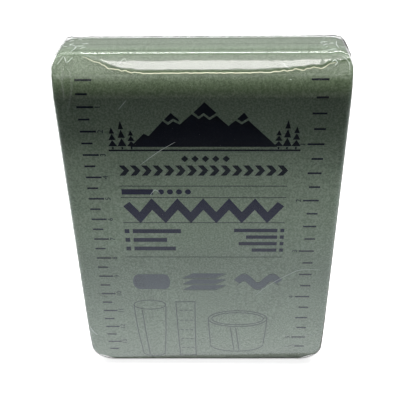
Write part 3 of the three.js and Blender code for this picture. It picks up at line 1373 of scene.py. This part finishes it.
        # faint pale beads paint streaks of reflection in the film's front
        streak_reflection_paint = CreaseFinish("streak_painted_reflection", (0.75, 0.8, 0.77), 0.1)
        self.bead("contact_line_painted_highlight", [(self.contact_line(), self.contact)], contact_highlight_paint)
        front = [(self.on_front(path), radius) for path, radius in self.front_creases()]
        top = [(self.on_top(path), self.sharp) for path in self.top_creases()]
        self.bead("crease_painted_highlights", front + top + self.seam_line() + self.corner_bits(), pale)
        self.bead("streak_painted_reflections", [(self.on_front(path), self.smear) for path in self.smears()], streak_reflection_paint)

    def on_front(self, path: Path) -> list[Vector]:
        """A smooth line on the film's front, for places across and up in millimetres."""
        return [self.form.front(x, z) for x, z in self.rounded(path)]

    def on_top(self, path: Path) -> list[Vector]:
        """A smooth line on the film's top, for places across and back in millimetres."""
        return [self.form.twisted(x, y, self.form.height) for x, y in self.rounded(path)]

    def front_creases(self) -> list[tuple[Path, float]]:
        """The creases on the film's front, across and up in millimetres, with their radii."""
        sharp, fine = self.sharp, self.fine
        return [
            (((-49.1, 153.3), (-48.9, 152.3), (-48.5, 151.1)), sharp * 1.7),
            (((-48.3, 151.3), (-47.3, 152.1), (-46.2, 153.1)), sharp * 1.5),
            (((-52.1, 150.5), (-50.8, 152.0), (-49.4, 153.6)), sharp),
            (((-29.4, 150.7), (-28.2, 152.2), (-27.3, 152.6), (-26.8, 151.5), (-27.8, 150.9)), sharp),
            (((29.4, 150.8), (30.4, 149.7), (31.9, 148.8)), sharp),
            (((46.5, 150.8), (47.5, 151.9), (48.6, 150.9), (47.3, 149.8)), sharp * 1.6),
            (((49.8, 153.4), (51.5, 152.3), (52.8, 150.4), (53.0, 148.1)), sharp),
            (((-30.7, 134.1), (-27.4, 137.9)), fine),
            (((-24.1, 110.9), (-16.8, 116.6), (-10.1, 120.8)), fine),
            (((-21.1, 97.1), (-18.9, 99.5), (-17.0, 97.6)), fine),
            (((22.4, 44.6), (28.8, 51.0), (35.0, 55.5), (41.3, 58.9), (49.8, 58.9)), fine),
            (((-53.8, 26.3), (-52.6, 22.3), (-50.7, 19.7)), sharp),
            (((45.9, 19.1), (49.5, 19.7)), sharp),
            (((36.7, 10.6), (41.7, 12.8)), sharp),
            (((31.7, 145.2), (32.6, 145.1)), sharp),
        ]

    @staticmethod
    def top_creases() -> list[Path]:
        """The creases on the film's top, across and back in millimetres."""
        return [
            ((43.2, -6.5), (46.5, -5.8), (49.2, -6.6)),
            ((49.6, 2.5), (48.9, -1.1), (49.3, -4.7)),
            ((-52.0, 4.8), (-50.7, 1.8)),
            ((-46.0, -2.1), (-43.1, -1.5)),
            ((-44.9, 7.9), (-43.8, 7.4)),
            ((-47.2, -6.4), (-45.8, -2.8), (-48.7, 0.6)),
        ]

    @staticmethod
    def smears() -> list[Path]:
        """The soft pale streaks of painted reflection in the film's front, across and up in millimetres."""
        return [
            ((-49.2, 150.1), (-50.2, 147.1), (-50.4, 143.7), (-50.2, 139.4)),
            ((-48.6, 149.5), (-47.2, 147.1), (-46.9, 143.7), (-47.6, 139.4), (-49.2, 134.9)),
            ((-47.9, 45.7), (-43.3, 42.8)),
        ]


@dataclass(frozen=True)
class SoftLight:
    """A rectangular soft light, placed as (y, z) and tilted from looking straight down."""

    name: str
    place: Point
    size: Point
    radiance: float
    tilt: float = 0.0
    across: float = 0.0
    lights_foam: bool = True
    mirrored: bool = True
    spread: float = math.pi
    colour: Colour = (1.0, 1.0, 1.0)

    def build(self) -> None:
        """Hang the light."""
        data = bpy.data.lights.new(self.name, "AREA")
        data.shape = "RECTANGLE"
        data.size, data.size_y = self.size
        data.energy = self.radiance * math.pi * self.size[0] * self.size[1]
        data.color = self.colour
        data.spread = self.spread
        light = bpy.data.objects.new(self.name, data)
        light.location = (self.across, *self.place)
        light.rotation_euler = (self.tilt, 0, 0)
        light.visible_camera = False
        light.visible_diffuse = self.lights_foam
        light.visible_glossy = self.mirrored
        bpy.context.scene.collection.objects.link(light)


@dataclass(frozen=True)
class FrontCard:
    """A glowing card flat on the floor in front, out of the camera's sight.

    It reaches between two distances from the pack, in millimetres, and its stops give its radiance
    at distances. It either lights the foam or is only mirrored in the film.
    """

    name: str
    reach: Point
    stops: Path
    mirrored: bool
    width: float = 0.9
    above_floor: float = 1 * MM
    colour: Colour = (0.95, 1.0, 1.04)

    def build(self) -> None:
        """Lay the card."""
        card = add_plane(self.name)
        for vertex in card.data.vertices:
            along = mix(self.reach[0], self.reach[1], 0.5 - vertex.co.y)
            vertex.co = (vertex.co.x * self.width, -along * MM, self.above_floor)
        material, shader, surface = new_material(self.name)
        axes = shader.add("SeparateXYZ", {0: shader.add("TexCoord").outputs["Object"]}).outputs
        along = shader.math("MULTIPLY", axes["Y"], -1 / (self.reach[1] * MM))
        fade = shader.add("ValToRGB", {"Fac": along})
        elements = fade.color_ramp.elements
        while len(elements) < len(self.stops):
            elements.new(0.5)
        while len(elements) > len(self.stops):
            elements.remove(elements[-1])
        brightest = max(radiance for _, radiance in self.stops)
        for element, (distance, radiance) in zip(elements, self.stops):
            element.position = distance / self.reach[1]
            element.color = (*(radiance / brightest,) * 3, 1)
        shader.feed(surface, {
            "Base Color": (0, 0, 0, 1), "Specular IOR Level": 0, "Emission Color": (*self.colour, 1),
            "Emission Strength": shader.math("MULTIPLY", fade.outputs["Color"], brightest)})
        card.data.materials.append(material)
        card.visible_camera = False
        card.visible_diffuse = not self.mirrored
        card.visible_glossy = self.mirrored


@dataclass
class Studio:
    """The pale floor, the soft lights and the camera."""

    lights: tuple[SoftLight, ...] = (
        SoftLight(
            "front_strip", (-0.98, 0.64), (0.52, 0.18), 5.0, math.radians(63), lights_foam=False,
            across=-0.02, colour=(1.0, 0.93, 0.965)),
        SoftLight(
            "shelf_light", (-1.0, 0.42), (0.9, 0.045), 43, math.radians(75), mirrored=False,
            colour=(0.9, 1.0, 0.72)),
        SoftLight(
            "band_light", (-0.135, 0.092), (0.17, 0.045), 0.24, math.radians(90), mirrored=False,
            spread=math.radians(16)),
        SoftLight("overhead", (0.095, 1.0), (1.4, 0.3), 11),
    )
    cards: tuple[FrontCard, ...] = (
        FrontCard("near_card", (14, 50), ((14, 1.8),), False, colour=(1.0, 0.95, 1.04)),
        FrontCard("mid_card", (50, 108), ((50, 2.7),), False),
        FrontCard(
            "haze_card", (14, 700),
            ((14, 1.18), (55, 1.05), (120, 0.45), (150, 0.29), (205, 0.09), (245, 0.0)), True),
    )
    flag_place: float = -0.15
    flag_top: float = 0.181
    flag_width: float = 1.2
    flag_colour: Colour = (0.02, 0.02, 0.02)
    camera_place: tuple[float, float, float] = (9.4 * MM, -223.7 * MM, 230.1 * MM)
    pitch: float = math.radians(32.633)
    yaw: float = math.radians(-2.845)
    roll: float = math.radians(-1.232)
    sensor: float = 36.0
    focal_pixels: float = 625.6
    clip_start: float = 10 * MM
    floor_size: float = 6
    floor_pale: Colour = (0.8, 0.8, 0.8)
    floor_dim: Colour = (0.25, 0.25, 0.25)
    floor_roughness: float = 0.9
    floor_glow: float = 0.85
    behind_span: Point = (-0.1, 0.35)
    behind_radiance: float = 0.3
    front_heights: Point = (0.2, 0.34)
    front_span: Point = (-0.5, -0.8)
    front_radiance: float = 2.2
    sides_span: Point = (0.4, 0.65)
    sides_radiance: float = 0.3

    def build_camera(self) -> None:
        """Place the camera at the photograph's viewing angle."""
        data = bpy.data.cameras.new("camera")
        data.sensor_width = self.sensor
        data.lens = self.focal_pixels / FRAME_PIXELS * self.sensor
        data.clip_start = self.clip_start
        forward = Vector((
            math.sin(self.yaw) * math.cos(self.pitch),
            math.cos(self.yaw) * math.cos(self.pitch),
            -math.sin(self.pitch)))
        level = Vector((math.cos(self.yaw), -math.sin(self.yaw), 0))
        upright = level.cross(forward)
        right = level * math.cos(self.roll) + upright * math.sin(self.roll)
        up = -level * math.sin(self.roll) + upright * math.cos(self.roll)
        turn = Matrix((right, up, -forward)).transposed()
        camera = bpy.data.objects.new("camera", data)
        camera.matrix_world = Matrix.Translation(self.camera_place) @ turn.to_4x4()
        bpy.context.scene.collection.objects.link(camera)
        bpy.context.scene.camera = camera

    def build_floor(self) -> None:
        """Lay the pale floor: white to the eye, and dimmer in what the film mirrors."""
        floor = add_plane("floor", self.floor_size)
        material, shader, surface = new_material("pale_floor")
        eye = shader.add("LightPath").outputs["Is Camera Ray"]
        shader.feed(surface, {
            "Base Color": shader.mixed(eye, self.floor_dim, self.floor_pale),
            "Roughness": self.floor_roughness, "Specular IOR Level": 0, "Emission Color": (1, 1, 1, 1),
            "Emission Strength": shader.math("MULTIPLY", eye, self.floor_glow)})
        floor.data.materials.append(material)

    def build_flag(self) -> None:
        """Stand up the card that keeps the low front light off all but the pack's top."""
        flag = add_plane("flag")
        for vertex in flag.data.vertices:
            vertex.co = (
                vertex.co.x * self.flag_width, self.flag_place, (vertex.co.y + 0.5) * self.flag_top)
        material, shader, surface = new_material("flag")
        shader.feed(surface, {"Base Color": (*self.flag_colour, 1)})
        flag.data.materials.append(material)
        flag.visible_camera = False
        flag.visible_diffuse = False
        flag.visible_glossy = False
        flag.visible_transmission = False

    def build_lights(self) -> None:
        """Hang the soft lights and set the surroundings: white to the eye, and shaped in the mirror."""
        for light in self.lights:
            light.build()
        world = bpy.data.worlds.new("surroundings")
        world.use_nodes = True
        shader = Shader(world.node_tree)
        direction = shader.add("TexCoord").outputs["Generated"]
        axes = shader.add("SeparateXYZ", {0: direction}).outputs
        path = shader.add("LightPath").outputs
        behind = shader.ranged(axes["Y"], self.behind_span, self.behind_radiance)
        front = shader.ranged(axes["Z"], self.front_heights, self.front_radiance)
        ahead = shader.ranged(axes["Y"], self.front_span)
        aside = shader.math("ABSOLUTE", axes["X"])
        sides = shader.ranged(aside, self.sides_span, self.sides_radiance)
        glow = shader.math("MULTIPLY_ADD", front, ahead, sides)
        mirrored = shader.math("MULTIPLY_ADD", glow, path["Is Glossy Ray"], behind)
        seen = shader.math("MAXIMUM", mirrored, path["Is Camera Ray"])
        background = world.node_tree.nodes["Background"]
        shader.feed(background, {"Color": (1, 1, 1, 1), "Strength": seen})
        bpy.context.scene.world = world

    def build(self) -> None:
        """Set up the whole studio."""
        bpy.context.scene.view_settings.view_transform = "Standard"
        self.build_camera()
        self.build_floor()
        self.build_flag()
        for card in self.cards:
            card.build()
        self.build_lights()
        log.info("studio: camera %s", self.camera_place)


def main() -> None:
    """Build the studio and the splint, piece by piece."""
    logging.basicConfig(level=logging.INFO, format="%(name)s: %(message)s")
    low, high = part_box("film_wrap")
    form = PackForm(width=high.x - low.x, depth=high.y - low.y, height=high.z - low.z)
    Studio().build()
    strip = FoamStrip(form)
    strip.build()
    Print(strip).build()
    ClearFilm(form).build()
    FilmCreases(form).build()


if __name__ == "__main__":
    main()
